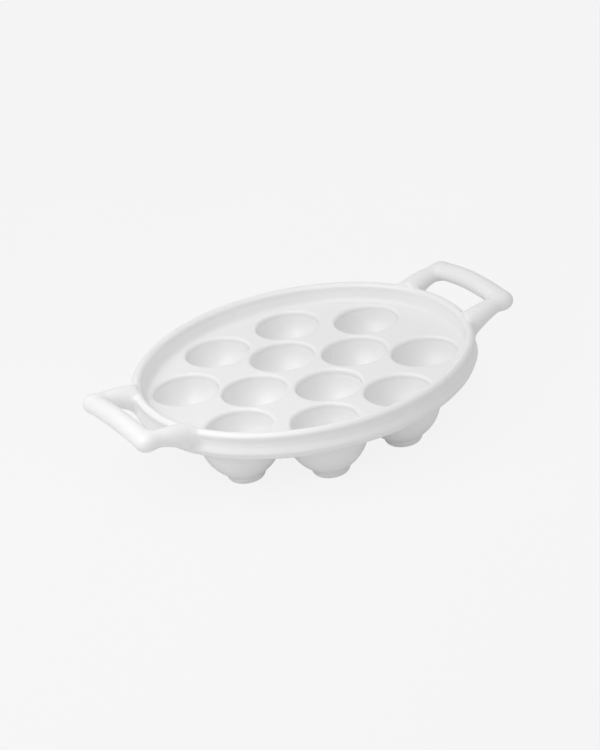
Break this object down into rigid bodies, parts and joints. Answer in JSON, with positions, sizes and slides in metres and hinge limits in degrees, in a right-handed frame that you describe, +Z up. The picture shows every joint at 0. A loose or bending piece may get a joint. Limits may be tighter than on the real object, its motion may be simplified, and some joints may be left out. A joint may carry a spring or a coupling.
{
  "type": "egg tray",
  "caption": "Oval glazed porcelain egg tray: round egg cups sunk in a raised-rim dish, a foot ring under each cup and a raised loop handle at each end.",
  "frame": {"origin": "on the table under the middle of the dish, in the plane of the foot rings' bottoms", "axes": "+X through the two handles, +Y across the dish, +Z up out of the cups"},
  "size_m": [0.2994, 0.2226, 0.0607],
  "materials": {
    "white_glaze": "gloss",
    "bare_porcelain": "matte"
  },
  "bodies": {
    "root": {"tray_floor": "white_glaze", "rim_wall": "white_glaze", "handle_left": "white_glaze", "handle_right": "white_glaze", "egg_cup_01": "white_glaze", "egg_cup_02": "white_glaze", "egg_cup_03": "white_glaze", "egg_cup_04": "white_glaze", "egg_cup_05": "white_glaze", "egg_cup_06": "white_glaze", "egg_cup_07": "white_glaze", "egg_cup_08": "white_glaze", "egg_cup_09": "white_glaze", "egg_cup_10": "white_glaze", "egg_cup_11": "white_glaze", "egg_cup_12": "white_glaze", "foot_ring_01": "bare_porcelain", "foot_ring_02": "bare_porcelain", "foot_ring_03": "bare_porcelain", "foot_ring_04": "bare_porcelain", "foot_ring_05": "bare_porcelain", "foot_ring_06": "bare_porcelain", "foot_ring_07": "bare_porcelain", "foot_ring_08": "bare_porcelain", "foot_ring_09": "bare_porcelain", "foot_ring_10": "bare_porcelain", "foot_ring_11": "bare_porcelain", "foot_ring_12": "bare_porcelain"}
  },
  "joints": []
}
